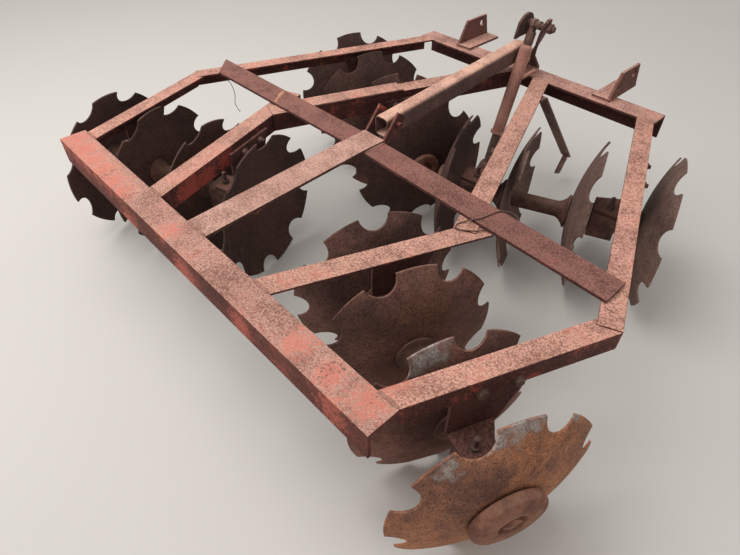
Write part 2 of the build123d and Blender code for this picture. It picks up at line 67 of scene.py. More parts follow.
class Value:
    """One shader value, on which arithmetic is written as in Python."""

    def __init__(self, sheet: "Sheet", socket: bpy.types.NodeSocket) -> None:
        """Keeps the output socket and the sheet that it belongs to."""
        self.sheet = sheet
        self.socket = socket

    def maths(self, operation: str, first: Input, second: Input) -> "Value":
        """Adds a Math node.

        Args:
            operation: the node's operation.
            first: its first value.
            second: its second value.

        Returns:
            The node's result.
        """
        made = self.sheet.node("ShaderNodeMath", {"operation": operation}, {0: first, 1: second})
        return Value(self.sheet, made.outputs[0])

    def __add__(self, other: Input) -> "Value":
        """The sum."""
        return self.maths("ADD", self, other)

    def __sub__(self, other: Input) -> "Value":
        """The difference."""
        return self.maths("SUBTRACT", self, other)

    def __rsub__(self, other: Input) -> "Value":
        """The difference, number first."""
        return self.maths("SUBTRACT", other, self)

    def __mul__(self, other: Input) -> "Value":
        """The product."""
        return self.maths("MULTIPLY", self, other)

    def over(self, other: Input) -> "Value":
        """The larger of the two."""
        return self.maths("MAXIMUM", self, other)

    def ease(self, low: float, high: float) -> "Value":
        """Goes smoothly from 0 at low to 1 at high.

        Args:
            low: where the rise begins.
            high: where it ends.

        Returns:
            The eased value.
        """
        made = self.sheet.node("ShaderNodeMapRange", {"interpolation_type": "SMOOTHSTEP"},
                               {"Value": self, "From Min": low, "From Max": high})
        return Value(self.sheet, made.outputs[0])


class Sheet:
    """The node tree of one material or of the world."""

    def __init__(self, tree: bpy.types.NodeTree) -> None:
        """Empties the tree, ready for new nodes."""
        self.tree = tree
        tree.nodes.clear()

    def node(self, kind: str, settings: dict, inputs: dict) -> bpy.types.Node:
        """Adds one node.

        Args:
            kind: the node's type.
            settings: its own properties, set first.
            inputs: values, colours or links, by socket name, identifier or number.

        Returns:
            The node.
        """
        made = self.tree.nodes.new(kind)
        for key, setting in settings.items():
            setattr(made, key, setting)
        for key, given in inputs.items():
            self.plug(made, key, given)
        return made

    def plug(self, made: bpy.types.Node, key: Union[int, str], given: Input) -> None:
        """Sets or links one input.

        Args:
            made: the node.
            key: the socket's number, identifier or name.
            given: a value to set or an output to link.
        """
        if isinstance(key, int):
            socket = made.inputs[key]
        else:
            known = [s for s in made.inputs if s.identifier == key]
            named = known or [s for s in made.inputs if s.name == key]
            socket = named[0]
        if isinstance(given, Value):
            given = given.socket
        if isinstance(given, bpy.types.NodeSocket):
            self.tree.links.new(given, socket)
        elif isinstance(given, tuple) and len(given) == 3 and len(socket.default_value) == 4:
            socket.default_value = (*given, 1.0)
        else:
            socket.default_value = given

    def place(self) -> bpy.types.NodeSocket:
        """The point on the piece, in its own coordinates."""
        return self.node("ShaderNodeTexCoord", {}, {}).outputs["Object"]

    def upward(self) -> Value:
        """How far the surface faces up, from -1 to 1."""
        facing = self.node("ShaderNodeTexCoord", {}, {}).outputs["Normal"]
        return Value(self, self.node("ShaderNodeSeparateXYZ", {}, {"Vector": facing}).outputs["Z"])

    def noise(self, scale: float, detail: float, rough: float = 0.55) -> Value:
        """Noise over the surface.

        Args:
            scale: features per metre.
            detail: octaves.
            rough: how strong the finer octaves are.

        Returns:
            The noise, around 0.5.
        """
        made = self.node("ShaderNodeTexNoise", {}, {"Vector": self.place(), "Scale": scale,
                                                   "Detail": detail, "Roughness": rough})
        return Value(self, made.outputs["Fac"])

    def near(self, point: Point) -> Value:
        """How far the surface is from a point, in metres."""
        made = self.node("ShaderNodeVectorMath", {"operation": "DISTANCE"}, {0: self.place(), 1: point})
        return Value(self, made.outputs["Value"])

    def mix(self, share: Input, first: Input, second: Input, blend: str = "MIX") -> bpy.types.NodeSocket:
        """Mixes two colours.

        Args:
            share: how much of the second.
            first: the colour under it.
            second: the colour laid on.
            blend: the way they are mixed.

        Returns:
            The mixed colour.
        """
        made = self.node("ShaderNodeMix", {"data_type": "RGBA", "blend_type": blend},
                         {"Factor_Float": share, "A_Color": first, "B_Color": second})
        return [s for s in made.outputs if s.identifier == "Result_Color"][0]

    def finish(self, colour: Input, rough: Input, height: Value, depth: float) -> None:
        """Ends the tree in one shader with a bump.

        Args:
            colour: the base colour.
            rough: the roughness.
            height: the relief, 0 to 1.
            depth: how deep that relief is, in metres.
        """
        bump = self.node("ShaderNodeBump", {}, {"Strength": 0.9, "Distance": depth, "Height": height})
        shader = self.node("ShaderNodeBsdfPrincipled", {}, {
            "Base Color": colour, "Roughness": rough, "Normal": bump.outputs[0], "Specular IOR Level": 0.3})
        self.node("ShaderNodeOutputMaterial", {}, {"Surface": shader.outputs[0]})


def new_sheet(name: str) -> tuple[bpy.types.Material, Sheet]:
    """Starts a material.

    Args:
        name: the material's name.

    Returns:
        The material and its empty sheet.
    """
    material = bpy.data.materials.new(name)
    material.use_nodes = True
    return material, Sheet(material.node_tree)


@dataclass(frozen=True)
class WornPaint:
    """Old red paint: bleached on top and darker on upright faces, partly real and partly painted light on top
    and painted shade on upright faces; with brighter patches and rust pits.
    """

    name: str
    # top and side colours differ partly by bleaching and partly by painted light on up-facing faces and
    # painted shade on upright faces
    top: Colour
    side: Colour
    fresh: Colour = (0.50, 0.095, 0.060)       # paint that has kept its red, on upright faces, darker there partly as painted shade
    glow: Colour = (0.80, 0.310, 0.225)        # and on top, where it has bleached and is painted lighter as if lit
    rust: Colour = (0.105, 0.042, 0.030)
    patches: float = 0.5             # how much of it has kept its red
    pits: float = 0.6                # how many rust pits
    grit: float = 0.9                # how strong the fine speckle is
    bare: tuple[Spot, ...] = ()      # spots of brighter paint
    grain_scale: float = 210.0       # features per metre, here and below
    mottle_scale: float = 80.0
    blotch_scale: float = 15.0
    cloud_scale: float = 5.0
    fine_scale: float = 520.0
    relief: float = 0.0018           # in metres

    def make(self) -> bpy.types.Material:
        """Builds the material."""
        material, s = new_sheet(self.name)
        grain = s.noise(self.grain_scale, 4.0, 0.70)
        mottle = s.noise(self.mottle_scale, 5.0, 0.70)
        blotch = s.noise(self.blotch_scale, 6.0, 0.62)
        cloud = s.noise(self.cloud_scale, 3.0)
        fine = s.noise(self.fine_scale, 2.0, 0.7)
        # Painted light and shade, partly real bleaching: faces that point up take the top colour, upright
        # faces the darker side colour.
        upward = s.upward().ease(0.35, 0.92)
        base = s.mix(upward, self.side, self.top)
        flaw = mottle * 0.75 + blotch * 0.75 - 0.25
        shade = s.mix((blotch * 0.6 + cloud * 0.4).ease(0.38, 0.62), (0.84, 0.81, 0.80), (1.10, 1.10, 1.10))
        base = s.mix(1.0, base, shade, "MULTIPLY")
        speckle = s.mix((flaw * 0.30 + grain * 0.70).ease(0.40, 0.60), (0.44, 0.37, 0.35), (1.42, 1.39, 1.37))
        base = s.mix(self.grit, base, speckle, "MULTIPLY")
        patch = (blotch * 0.60 + mottle * 0.40).ease(0.60 - 0.09 * self.patches, 0.64 - 0.08 * self.patches)
        patch = patch * self.patches
        for x, y, z, reach in self.bare:
            edge = s.near((x, y, z)) + (mottle - 0.5) * 0.16 + (grain - 0.5) * 0.16
            patch = patch.over((1.0 - edge.ease(reach * 0.55, reach)) * 0.9)
        # The red patches are also lighter on up-facing faces, partly bleaching and partly painted light.
        red_patch_with_painted_light = s.mix(upward * 0.55, self.fresh, self.glow)
        base = s.mix(patch, base, red_patch_with_painted_light)
        pit = (grain * 0.55 + flaw * 0.45).ease(0.590 - 0.05 * self.pits, 0.635 - 0.045 * self.pits)
        speck = fine.ease(0.54, 0.66) * 0.55
        base = s.mix((pit * 0.9).over(speck) * (0.35 + 0.65 * self.pits), base, self.rust)
        rough = 0.86 - patch * 0.14
        s.finish(base, rough, grain * 0.6 + fine * 0.25 - pit * 0.35, self.relief)
        return material


@dataclass(frozen=True)
class DiscRust:
    """Soil-worn steel: brown-black rust with an orange bloom in places, and dried pale mud at given spots."""

    name: str
    dark: Colour = (0.070, 0.034, 0.026)
    brown: Colour = (0.150, 0.078, 0.056)
    orange: Colour = (0.200, 0.088, 0.045)
    bloom: float = 0.2                         # how much of it has turned orange
    mud: tuple[Spot, ...] = ()
    pit: Colour = (0.036, 0.019, 0.016)
    fleck: Colour = (0.27, 0.155, 0.115)
    damp: Colour = (0.23, 0.170, 0.145)        # the mud's dark and light tones
    dry: Colour = (0.43, 0.360, 0.325)
    cloud_scale: float = 4.5                   # features per metre, here and below
    tide_scale: float = 3.1
    streak_scale: float = 38.0
    grain_scale: float = 190.0
    fine_scale: float = 520.0
    relief: float = 0.0013                     # in metres

    def make(self) -> bpy.types.Material:
        """Builds the material."""
        material, s = new_sheet(self.name)
        cloud = s.noise(self.cloud_scale, 3.0, 0.5)
        tide = s.noise(self.tide_scale, 4.0, 0.6)
        streak = s.noise(self.streak_scale, 5.0, 0.66)
        grain = s.noise(self.grain_scale, 4.0, 0.70)
        fine = s.noise(self.fine_scale, 2.0, 0.7)
        base = s.mix((cloud * 0.85 + streak * 0.15).ease(0.34, 0.66), self.dark, self.brown)
        warm = (tide * 0.88 + streak * 0.12).ease(0.58 - 0.20 * self.bloom, 0.70 - 0.16 * self.bloom)
        base = s.mix(warm * min(1.0, 0.35 + self.bloom), base, self.orange)
        uneven = (grain * 0.85 + streak * 0.15).ease(0.40, 0.60)
        speckle = s.mix(uneven, (0.46, 0.42, 0.40), (1.46, 1.44, 1.42))
        base = s.mix(1.0, base, speckle, "MULTIPLY")
        base = s.mix(grain.ease(0.54, 0.62) * 0.80, base, self.pit)
        base = s.mix(fine.ease(0.56, 0.67) * 0.50, base, self.fleck)
        height = grain * 0.5 + fine * 0.3 + streak * 0.2
        for x, y, z, reach in self.mud:
            edge = s.near((x, y, z)) + (streak - 0.5) * 0.10 + (grain - 0.5) * 0.05
            crust = 1.0 - edge.ease(reach * 0.40, reach * 1.15)
            base = s.mix(crust * 0.92, base, s.mix(grain.ease(0.38, 0.58), self.damp, self.dry))
            height = height + crust * 0.9
        s.finish(base, 0.80 - warm * 0.06, height, self.relief)
        return material


@dataclass(frozen=True)
class CastRust:
    """Rusted cast or bare steel of one tone, scaly and rough."""

    name: str
    dark: Colour
    light: Colour
    scale: float = 60.0              # scales per metre
    scales: float = 0.5              # how strong the dark specks between them are

    def make(self) -> bpy.types.Material:
        """Builds the material."""
        material, s = new_sheet(self.name)
        cloud = s.noise(self.scale * 0.3, 4.0)
        flake = s.noise(self.scale, 5.0, 0.65)
        grain = s.noise(self.scale * 5.0, 3.0, 0.6)
        base = s.mix((cloud * 0.5 + flake * 0.5).ease(0.38, 0.62), self.dark, self.light)
        base = s.mix(s.upward().ease(0.5, 0.95) * 0.22, base, s.mix(0.5, self.light, (0.42, 0.28, 0.22)))
        darker = tuple(0.45 * c for c in self.dark)
        base = s.mix(grain.ease(0.55, 0.70) * self.scales, base, darker)
        s.finish(base, 0.82, flake * 0.5 + grain * 0.5, 0.0015)
        return material


@dataclass(frozen=True)
class PaleFloor:
    """A plain pale studio floor with a barely seen grain."""

    name: str = "pale_floor"
    colour: Colour = (0.69, 0.655, 0.61)

    def make(self) -> bpy.types.Material:
        """Builds the material."""
        material, s = new_sheet(self.name)
        cloud = s.noise(1.5, 2.0)
        tint = s.mix(cloud.ease(0.3, 0.7) * 0.25, self.colour, tuple(0.95 * c for c in self.colour))
        s.finish(tint, 0.95, s.noise(400.0, 2.0), 0.0002)
        return material


class Finish(Enum):
    """The finishes of the harrow's own pieces."""

    # Each paint's top and side colours differ partly by painted light: lit up-facing faces and shaded upright
    # faces.
    RAIL = WornPaint("rail_paint", (0.60, 0.325, 0.250), (0.105, 0.038, 0.030), patches=0.60, pits=0.40,
                     bare=((0.560, -0.655, 0.447, 0.085), (0.615, -0.500, 0.447, 0.050)))
    REAR_BEAM = WornPaint("rear_beam_paint", (0.53, 0.300, 0.237), (0.15, 0.046, 0.034),
                          fresh=(0.50, 0.115, 0.078), rust=(0.085, 0.032, 0.024), patches=0.50, pits=0.70,
                          bare=((-0.632, -0.745, 0.447, 0.052), (-0.560, -0.748, 0.447, 0.050),
                                (-0.490, -0.751, 0.447, 0.046), (-0.420, -0.753, 0.447, 0.042),
                                (-0.350, -0.755, 0.447, 0.038), (-0.290, -0.756, 0.447, 0.034),
                                (-0.060, -0.745, 0.447, 0.030), (0.420, -0.735, 0.447, 0.034),
                                (0.520, -0.740, 0.447, 0.030), (0.610, -0.725, 0.447, 0.036),
                                (0.030, -0.774, 0.385, 0.055), (0.265, -0.774, 0.400, 0.042),
                                (-0.260, -0.774, 0.375, 0.042), (0.560, -0.774, 0.415, 0.040)))
    FRONT_BEAM = WornPaint("front_beam_paint", (0.53, 0.300, 0.245), (0.100, 0.036, 0.030),
                           patches=0.30, pits=0.35)
    INNER = WornPaint("inner_rail_paint", (0.58, 0.325, 0.250), (0.085, 0.028, 0.024),
                      fresh=(0.40, 0.075, 0.050), patches=0.60, pits=0.45,
                      bare=((-0.229, -0.606, 0.405, 0.055), (-0.255, -0.540, 0.405, 0.045),
                            (-0.285, -0.455, 0.408, 0.040)))
    CROSSBAR = WornPaint("crossbar_paint", (0.285, 0.133, 0.107), (0.115, 0.046, 0.037),
                         glow=(0.55, 0.190, 0.135), rust=(0.055, 0.026, 0.023), patches=0.45, pits=0.80)
    STRAP = WornPaint("strap_paint", (0.54, 0.320, 0.255), (0.10, 0.045, 0.036),
                      rust=(0.24, 0.125, 0.095), patches=0.1, pits=0.35, grit=0.70)
    BRACE = WornPaint("brace_paint", (0.72, 0.435, 0.330), (0.145, 0.084, 0.072),
                      rust=(0.26, 0.130, 0.095), patches=0.1, pits=0.20, grit=0.55)
    LUG = WornPaint("lug_paint", (0.30, 0.110, 0.085), (0.105, 0.040, 0.034), patches=0.75, pits=0.6,
                    fresh=(0.42, 0.080, 0.055))
    MAST = WornPaint("mast_rust", (0.34, 0.190, 0.150), (0.150, 0.080, 0.065), patches=0.05, pits=0.6,
                     rust=(0.07, 0.036, 0.030))
    # The left mast plate is darker than the right one, partly rust and partly painted shade on its shaded
    # face.
    LEAF = WornPaint("mast_plate_rust_and_shade", (0.18, 0.095, 0.078), (0.085, 0.048, 0.040), patches=0.1, pits=0.7,
                     rust=(0.045, 0.024, 0.020))
    LINK = WornPaint("link_paint", (0.64, 0.355, 0.280), (0.500, 0.250, 0.195),
                     fresh=(0.50, 0.180, 0.100), rust=(0.26, 0.125, 0.095),
                     patches=0.35, pits=0.10, grit=0.45)
    LINK_END = CastRust("link_end_rust", (0.085, 0.050, 0.042), (0.230, 0.125, 0.095))
    BRACKET = WornPaint("bracket_paint", (0.57, 0.330, 0.265), (0.170, 0.075, 0.060), patches=0.35, pits=0.55)
    STAND = WornPaint("stand_rust", (0.30, 0.185, 0.155), (0.220, 0.130, 0.108), patches=0.0, pits=0.4,
                      rust=(0.085, 0.050, 0.042))
    HANGER = WornPaint("hanger_rust", (0.26, 0.130, 0.102), (0.125, 0.055, 0.044), patches=0.25, pits=0.8,
                       rust=(0.055, 0.028, 0.022))
    BEARING = CastRust("bearing_rust", (0.080, 0.040, 0.032), (0.175, 0.085, 0.066))
    SPOOL = CastRust("spool_rust", (0.075, 0.036, 0.028), (0.165, 0.080, 0.058))
    WASHER = CastRust("end_washer_rust", (0.150, 0.062, 0.040), (0.300, 0.138, 0.088), scales=0.6)
    BOLT = CastRust("bolt_rust", (0.075, 0.040, 0.034), (0.180, 0.100, 0.082), scale=120.0)
    WELD = CastRust("weld_paint", (0.230, 0.100, 0.078), (0.440, 0.225, 0.170), scale=150.0, scales=0.45)
    WELD_RUST = CastRust("weld_rust", (0.36, 0.150, 0.085), (0.56, 0.280, 0.165), scale=110.0, scales=0.3)
    WIRE = CastRust("wire_rust", (0.060, 0.030, 0.025), (0.140, 0.075, 0.058), scale=200.0)
    DISC_DARK = DiscRust("disc_dark", dark=(0.050, 0.025, 0.021), brown=(0.105, 0.050, 0.040), bloom=0.05)
    DISC_BROWN = DiscRust("disc_brown", dark=(0.070, 0.034, 0.027), brown=(0.240, 0.118, 0.090), bloom=0.15)
    DISC_GREY = DiscRust("disc_grey", dark=(0.140, 0.082, 0.066), brown=(0.250, 0.158, 0.128), bloom=0.05)
    DISC_LIP = DiscRust("disc_lip", dark=(0.100, 0.048, 0.037), brown=(0.310, 0.148, 0.110), bloom=0.35,
                        mud=((0.598, -0.588, 0.424, 0.036), (0.612, -0.556, 0.442, 0.036)))
    DISC_ORANGE = DiscRust("disc_orange", dark=(0.150, 0.066, 0.044), brown=(0.400, 0.178, 0.104),
                           orange=(0.470, 0.190, 0.086), bloom=0.50,
                           mud=((0.808, -0.618, 0.436, 0.028), (0.824, -0.582, 0.448, 0.030),
                                (0.838, -0.545, 0.452, 0.022), (0.776, -0.700, 0.404, 0.022),
                                (0.875, -0.450, 0.403, 0.015)))
    FLOOR = PaleFloor()

    def material(self) -> bpy.types.Material:
        """The finish's material, made once."""
        return bpy.data.materials.get(self.value.name) or self.value.make()


def coat(nodes: list[str], finish: Finish) -> None:
    """Gives CAD nodes a finish.

    Args:
        nodes: the nodes' names.
        finish: the finish that they get.
    """
    for name in nodes:
        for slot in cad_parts[name].material_slots:
            slot.material = finish.material()
        LOG.info("node %s is %s", name, finish.value.name)


def smooth_path(points: list | np.ndarray, steps: int) -> np.ndarray:
    """Carries a smooth line through points, each stretch a cubic that also leans to the next two points.

    Args:
        points: what it goes through, in the drawing's millimetres.
        steps: how many points it gets.

    Returns:
        Points along it, in metres.
    """
    knots = spot(points)
    count = len(knots)
    t = np.linspace(0.0, count - 1.0, steps)
    index = np.minimum(t.astype(int), count - 2)
    u = (t - index)[:, None]
    before, a, b, after = (knots[np.clip(index + k, 0, count - 1)] for k in (-1, 0, 1, 2))
    return 0.5 * (2 * a + (b - before) * u + (2 * before - 5 * a + 4 * b - after) * u ** 2
                  + (3 * a - before - 3 * b + after) * u ** 3)


class Section(Enum):
    """The outline across a turned piece."""

    ROUND = 0
    SQUARE = 4
    HEXAGON = 6


@dataclass(frozen=True)
class Seat:
    """Where a turned piece sits: the foot of its axis, the way it points and a direction across it."""

    foot: Point
    axis: Point
    across: Point = (0.0, 0.0, 1.0)

    def carry(self, points: np.ndarray) -> np.ndarray:
        """Carries points from the seat's own axes, its third along the axis, into the frame.

        Args:
            points: an array whose last axis is across, sideways and along, in metres.

        Returns:
            The points in the frame, in metres.
        """
        axis = np.array(self.axis) / np.linalg.norm(self.axis)
        across = np.array(self.across) - axis * np.dot(self.across, axis)
        across /= np.linalg.norm(across)
        sideways = np.cross(axis, across)
        return np.array(self.foot) + points @ np.array([across, sideways, axis])


class Skin:
    """Closed grids of points gathered into the one mesh of a piece."""

    def __init__(self) -> None:
        """Starts with no points."""
        self.points: list[np.ndarray] = []
        self.faces: list[list[int]] = []
        self.count = 0

    def tube(self, grid: np.ndarray) -> "Skin":
        """Adds a closed tube: rings of points joined side by side, with a fan over each end.

        Args:
            grid: rings by points round each ring by x, y, z, in metres.

        Returns:
            The skin itself.
        """
        rings, around, _ = grid.shape
        index = self.count + np.arange(rings * around).reshape(rings, around)
        after = np.roll(index, -1, axis=1)
        quads = np.stack([index[:-1], after[:-1], after[1:], index[1:]], axis=-1).reshape(-1, 4)
        last = self.count + rings * around
        low = np.stack([np.full(around, last), after[0], index[0]], axis=-1)
        high = np.stack([np.full(around, last + 1), index[-1], after[-1]], axis=-1)
        ends = np.stack([grid[0].mean(axis=0), grid[-1].mean(axis=0)])
        self.points += [grid.reshape(-1, 3), ends]
        self.faces += quads.tolist() + low.tolist() + high.tolist()
        self.count = last + 2
        return self

    def turned(self, profile: list | np.ndarray, seat: Seat, section: Section = Section.ROUND,
               around: int = 32, limit: float = 1e9) -> "Skin":
        """Adds a turned piece: each ring's radius is the profile's, times the section's, up to a limit.

        Args:
            profile: along and radius of each ring, in millimetres; the radius is to a polygon's flats.
            seat: where it sits.
            section: round, square or hexagonal.
            around: points in each ring.
            limit: the largest radius, which rounds a polygon's corners, in millimetres.

        Returns:
            The skin itself.
        """
        rings = np.asarray(profile, float)
        angle = np.arange(around) * tau / around
        shape = np.ones(around)
        if section.value:
            part = tau / section.value
            shape = 1.0 / np.cos(np.mod(angle, part) - part / 2)
        radius = np.minimum(rings[:, 1:2] * shape, limit)
        along = np.repeat(rings[:, 0:1], around, axis=1)
        grid = np.stack([radius * np.cos(angle), radius * np.sin(angle), along], axis=-1) / 1000.0
        return self.tube(seat.carry(grid))

    def swept(self, path: np.ndarray, radius: np.ndarray, flat: float = 1.0, around: int = 10,
              up: Point = (0.0, 0.0, 1.0)) -> "Skin":
        """Adds a bead or wire: an ellipse carried square to a path, its size following radius.

        Args:
            path: points along it, in metres.
            radius: the ellipse's half width at each point, in metres.
            flat: its height as a share of its width.
            around: points in each ring.
            up: the direction of its height.

        Returns:
            The skin itself.
        """
        way = np.gradient(path, axis=0)
        way /= np.linalg.norm(way, axis=1, keepdims=True)
        side = np.cross(way, np.array(up, float))
        side /= np.linalg.norm(side, axis=1, keepdims=True)
        high = np.cross(side, way)
        angle = np.arange(around) * tau / around
        ring = (np.cos(angle)[None, :, None] * side[:, None, :]
                + flat * np.sin(angle)[None, :, None] * high[:, None, :])
        return self.tube(path[:, None, :] + radius[:, None, None] * ring)

    def bar(self, start: np.ndarray, end: np.ndarray, wide: np.ndarray, high: np.ndarray, edge: float,
            skew: float = 0.0, steps: int = 12) -> "Skin":
        """Adds a straight flat bar: a rectangle with cut corners, carried from one end to the other.

        Args:
            start: the section's first corner at one end, in metres.
            end: the same corner at the other end.
            wide: the section's one side.
            high: its other side.
            edge: how far from a corner its cut begins, in metres.
            skew: how much further back the first end's far side begins, in metres.
            steps: rings along the bar.

        Returns:
            The skin itself.
        """
        w, h = np.linalg.norm(wide), np.linalg.norm(high)
        a, b = edge / w, edge / h
        round_it = np.array([(a, 0), (1 - a, 0), (1, b), (1, 1 - b), (1 - a, 1), (a, 1), (0, 1 - b), (0, b)])
        ring = round_it[:, 0:1] * wide + round_it[:, 1:2] * high
        t = np.linspace(0.0, 1.0, steps)[:, None, None]
        back = (end - start) / np.linalg.norm(end - start) * skew
        return self.tube(start + (end - start) * t + ring - back * (1.0 - t) * round_it[:, 0:1])

    def piece(self, name: str, finish: Finish, body: str, slot: str,
              smooth: float = 35.0) -> bpy.types.Object:
        """Makes the piece, its faces outwards and its soft edges smooth, and lets it ride on its body.

        Args:
            name: the piece's name.
            finish: its finish.
            body: the CAD body that carries it.
            slot: the record's material slot; not used.
            smooth: edges sharper than this stay sharp, in degrees.

        Returns:
            The object.
        """
        mesh = bpy.data.meshes.new(name)
        mesh.from_pydata(np.concatenate(self.points).tolist(), [], self.faces)
        work = bmesh.new()
        work.from_mesh(mesh)
        bmesh.ops.recalc_face_normals(work, faces=work.faces)
        work.to_mesh(mesh)
        work.free()
        mesh.shade_smooth()
        mesh.set_sharp_from_angle(angle=radians(smooth))
        mesh.materials.append(finish.material())
        piece = bpy.data.objects.new(name, mesh)
        bpy.context.scene.collection.objects.link(piece)
        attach(piece, body)
        LOG.info("piece %s rides on %s with %d faces", name, body, len(self.faces))
        return piece


@dataclass
class Fastener:
    """A hexagon bolt head or nut with its washer, and the end of the thread standing out of it."""

    flats: float = 24.0
    height: float = 11.0
    washer: float = 17.0
    washer_t: float = 3.0
    thread_r: float = 7.5
    stand_out: float = 0.0

    def build(self, skin: Skin, seat: Seat) -> None:
        """Adds the fastener to a skin: chamfered hexagon, flat washer, and a ridged thread if it stands out.

        Args:
            skin: what it is added to.
            seat: its place on the surface, its axis out of it.
        """
        w, half = self.washer_t, self.flats / 2
        if w:
            rings = [(-0.5, self.washer), (w - 0.6, self.washer), (w, self.washer - 0.8)]
            skin.turned(rings, seat, around=24)
        top = w + self.height
        skin.turned([(w - 0.2, half * 0.97), (w + 0.8, half), (top - 1.8, half), (top - 0.4, half * 0.93),
                     (top, half * 0.80)], seat, Section.HEXAGON, 24, half * 1.125)
        if self.stand_out:
            turns = np.arange(top - 1.0, top + self.stand_out, 0.5)
            radius = self.thread_r + 0.45 * np.sin(turns * tau / 2.5)
            radius[-1] = self.thread_r * 0.8
            skin.turned(np.stack([turns, radius], axis=1), seat, around=16)


@dataclass
class Gang:
    """One gang's own dress: its turned axle, and the bolts of its hangers and bearings."""

    name: str
    side: int                        # -1 on the left, 1 on the right
    toe: float                       # of the axle, in degrees
    middle: tuple[float, float]      # in the shared frame, in metres
    bearings: tuple[float, float]    # their middles along the axle, in millimetres
    plates: tuple[float, float]      # the hangers' faces against the rails' legs
    rear: bool
    blades: tuple[Finish, Finish, Finish, Finish]
    axle_z: float = 229.0
    gap: float = 205.0
    blade_t: float = 5.0
    bolt_half: float = 12.5          # half the square bolt's width
    tube_r: float = 25.0             # of a spool's middle; its two bells follow
    convex_r: float = 52.0
    concave_r: float = 40.0
    flare: float = 44.0
    sleeve_r: float = 31.0
    sleeve_half: float = 46.0
    foot_top: float = 54.0           # of a hanger's foot, over the axle
    leg_bolts: tuple[float, float] = (8.0, 86.0)    # ahead of the axle, on a rail's leg
    leg_bolt_z: float = 178.0
    stud_back: float = 12.0          # the one stud of each bearing, behind the axle's line
    stud_short: float = 8.0          # and short of the bearing's middle
    plate_t: float = 8.0
    leg_t: float = 6.5

    def point(self, along: float, across: float, up: float) -> Point:
        """A point of the gang in the frame.

        Args:
            along: from its middle towards the outer end, in millimetres.
            across: ahead of the axle.
            up: over the axle.

        Returns:
            The point, in metres.
        """
        a = radians(self.toe)
        x = self.middle[0] + self.side * (along * cos(a) - across * sin(a)) / 1000.0
        return x, self.middle[1] + (along * sin(a) + across * cos(a)) / 1000.0, (self.axle_z + up) / 1000.0

    def outward(self) -> Point:
        """The axle's direction towards the outer end."""
        return self.side * cos(radians(self.toe)), sin(radians(self.toe)), 0.0

    def hubs(self) -> list[float]:
        """Each blade's hub along the axle, in millimetres."""
        return [(k - 1.5) * self.gap for k in range(4)]

    def bell(self, radius: float) -> list[tuple[float, float]]:
        """Half a spool from a blade inwards: a rounded lip, then a hollow flare down to the tube.

        Args:
            radius: of the bell's lip, in millimetres.

        Returns:
            Distance from the blade and radius of each ring.
        """
        lip = [(0.0, radius - 3.0), (0.7, radius - 1.0), (2.0, radius), (5.8, radius), (7.2, radius - 1.2),
               (8.0, radius - 3.5)]
        share = np.linspace(0.0, 1.0, 9)[1:]
        fall = self.tube_r + (radius - 6.0 - self.tube_r) * (1.0 - share) ** 2.4
        return lip + list(zip(8.6 + share * (self.flare - 8.6), fall))

    def spool(self, skin: Skin, start: float, end: float, sleeve: bool) -> None:
        """Adds one cast spool between two blades.

        Args:
            skin: what it is added to.
            start: its inner end along the axle, in millimetres.
            end: its outer end.
            sleeve: whether a bearing runs on its middle.
        """
        first, last = (self.convex_r, self.concave_r) if self.rear else (self.concave_r, self.convex_r)
        rings = [(start + d, r) for d, r in self.bell(first)]
        if sleeve:
            mid, half = (start + end) / 2, self.sleeve_half
            rings += [(mid - half - 1.5, self.tube_r), (mid - half, self.sleeve_r - 1.5),
                      (mid - half + 1.5, self.sleeve_r), (mid + half - 1.5, self.sleeve_r),
                      (mid + half, self.sleeve_r - 1.5), (mid + half + 1.5, self.tube_r)]
        rings += [(end - d, r) for d, r in reversed(self.bell(last))]
        skin.turned(rings, self.axle(), around=40)

    def axle(self) -> Seat:
        """The seat of everything turned about the axle."""
        return Seat(self.point(0.0, 0.0, 0.0), self.outward())

    def end_washer(self, skin: Skin, face: float) -> None:
        """Adds a rear gang's outer washer: rounded shoulder, shallow cone, and a recess for the nut."""
        rings = [(0, 81), (1.2, 82.6), (3, 83), (14, 83), (19, 81.5), (23, 77), (25.5, 69), (27, 56),
                 (28, 42), (28, 35), (27.2, 32.5), (25, 31), (14.5, 30.2), (14, 24), (14, 8)]
        skin.turned([(face + d, r) for d, r in rings], self.axle(), around=64)
        nut = [(face + 13.5, 17), (face + 26, 17), (face + 26.6, 15.5)]
        skin.turned(nut, self.axle(), Section.SQUARE, 24, 22.5)
        skin.turned([(face + 20, 11), (face + 27.4, 11), (face + 28, 9.5)], self.axle(), around=20)

    def bumper(self, skin: Skin, face: float) -> None:
        """Adds a front gang's inner washer: a rounded disc, hollowed round the bolt's square head."""
        rings = [(0, 53), (1.5, 55), (9, 55), (14, 52), (17, 45), (18, 36), (17, 30), (12, 27), (11, 8)]
        skin.turned([(face - d, r) for d, r in rings], self.axle(), around=56)
        head = [(face - 10, 16), (face - 17, 16), (face - 17.8, 14)]
        skin.turned(head, self.axle(), Section.SQUARE, 24, 21.0)

    def cap(self, skin: Skin, face: float, way: int) -> None:
        """Adds the plain washer, square nut and bolt end at the gang's other end.

        Args:
            skin: what it is added to.
            face: the blade's face along the axle, in millimetres.
            way: 1 outwards, -1 inwards.
        """
        washer, nut, end = ([(face + way * d, r) for d, r in rings] for rings in (
            [(0, 36), (1, 38), (7, 38), (8, 36.5)], [(7.5, 18.5), (19, 18.5), (20, 16.5)],
            [(18, 11.5), (21.4, 11.5), (22, 10)]))
        skin.turned(washer, self.axle(), around=40)
        skin.turned(nut, self.axle(), Section.SQUARE, 24, 24.0)
        skin.turned(end, self.axle(), around=20)

